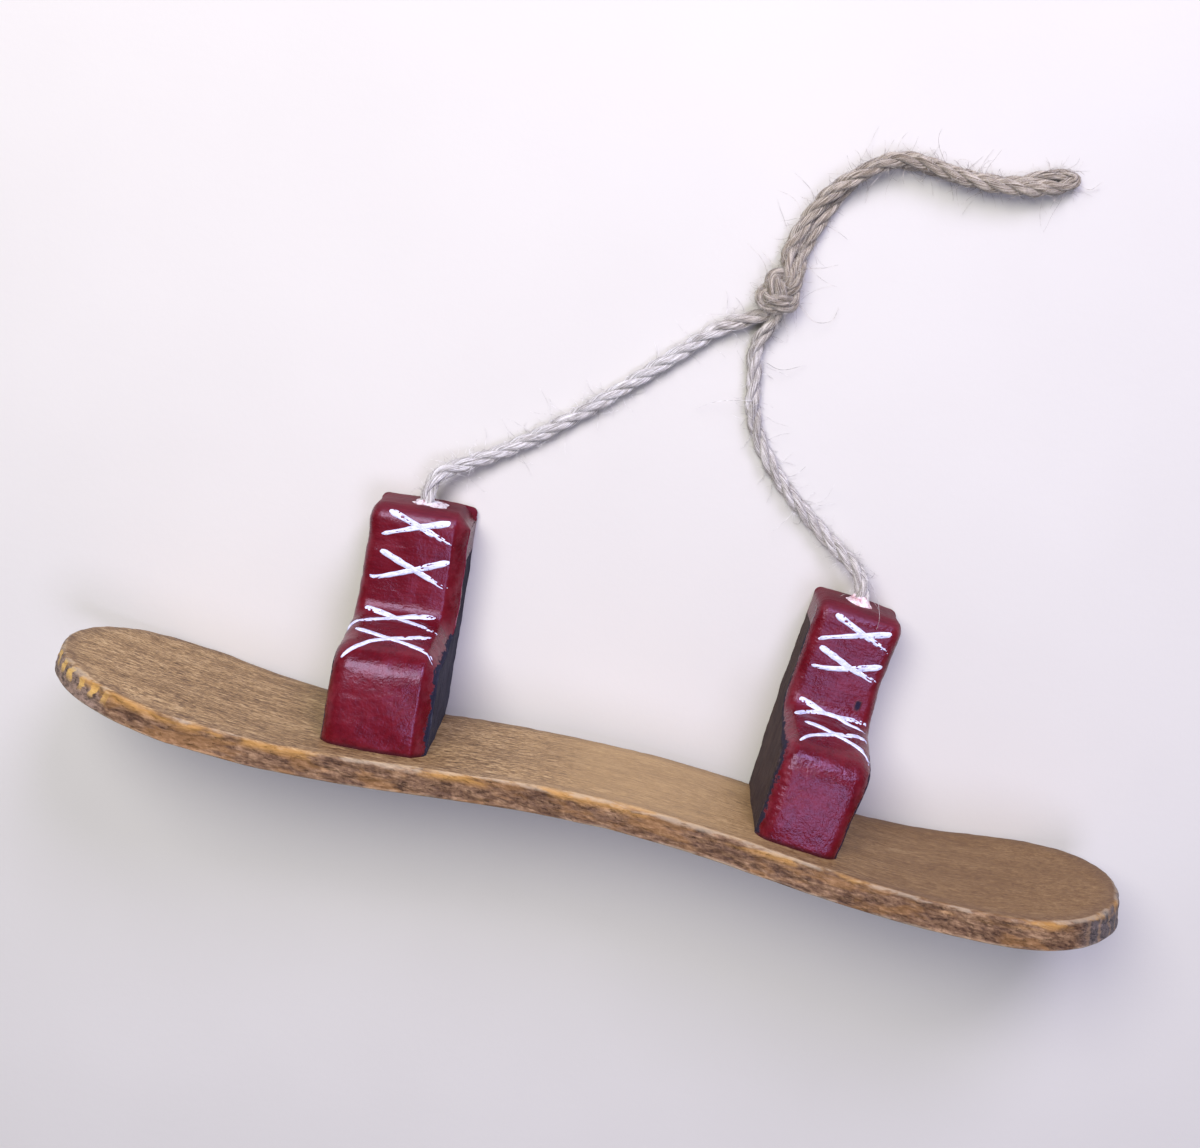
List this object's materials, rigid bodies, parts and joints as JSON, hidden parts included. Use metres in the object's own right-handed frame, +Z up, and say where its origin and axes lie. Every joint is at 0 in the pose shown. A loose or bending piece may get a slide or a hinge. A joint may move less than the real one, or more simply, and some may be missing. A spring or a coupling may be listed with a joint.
{
  "type": "wooden snowboard ornament",
  "caption": "Carved wooden snowboard ornament with painted boots standing on its deck and a knotted twine hanger.",
  "frame": {"origin": "on the resting surface, under the middle of the ornament without its twine", "axes": "+X along the board to the thick tip, +Y from the deck towards the boots' tops, +Z up from the surface it lies on, out of the toes"},
  "size_m": [0.15, 0.1027, 0.031],
  "materials": {
    "stained_wood": "brown stain, fine open grain, worn pale along the edges",
    "boot_paint": "brushed dark red paint, semi-gloss, over wood with dark washed sides",
    "nail_steel": "plain wire nail",
    "white_glue": "dried craft glue",
    "lace_paint": "thick white brush strokes",
    "jute_twine": "twisted natural jute with loose fibres"
  },
  "bodies": {
    "root": {"deck": "stained_wood", "left_boot": "boot_paint", "right_boot": "boot_paint", "left_boot_nails": "nail_steel", "right_boot_nails": "nail_steel", "left_glue_collar": "white_glue", "right_glue_collar": "white_glue", "twine_left_leg": "jute_twine", "twine_right_leg": "jute_twine", "twine_knot": "jute_twine", "twine_loop": "jute_twine"}
  },
  "joints": []
}
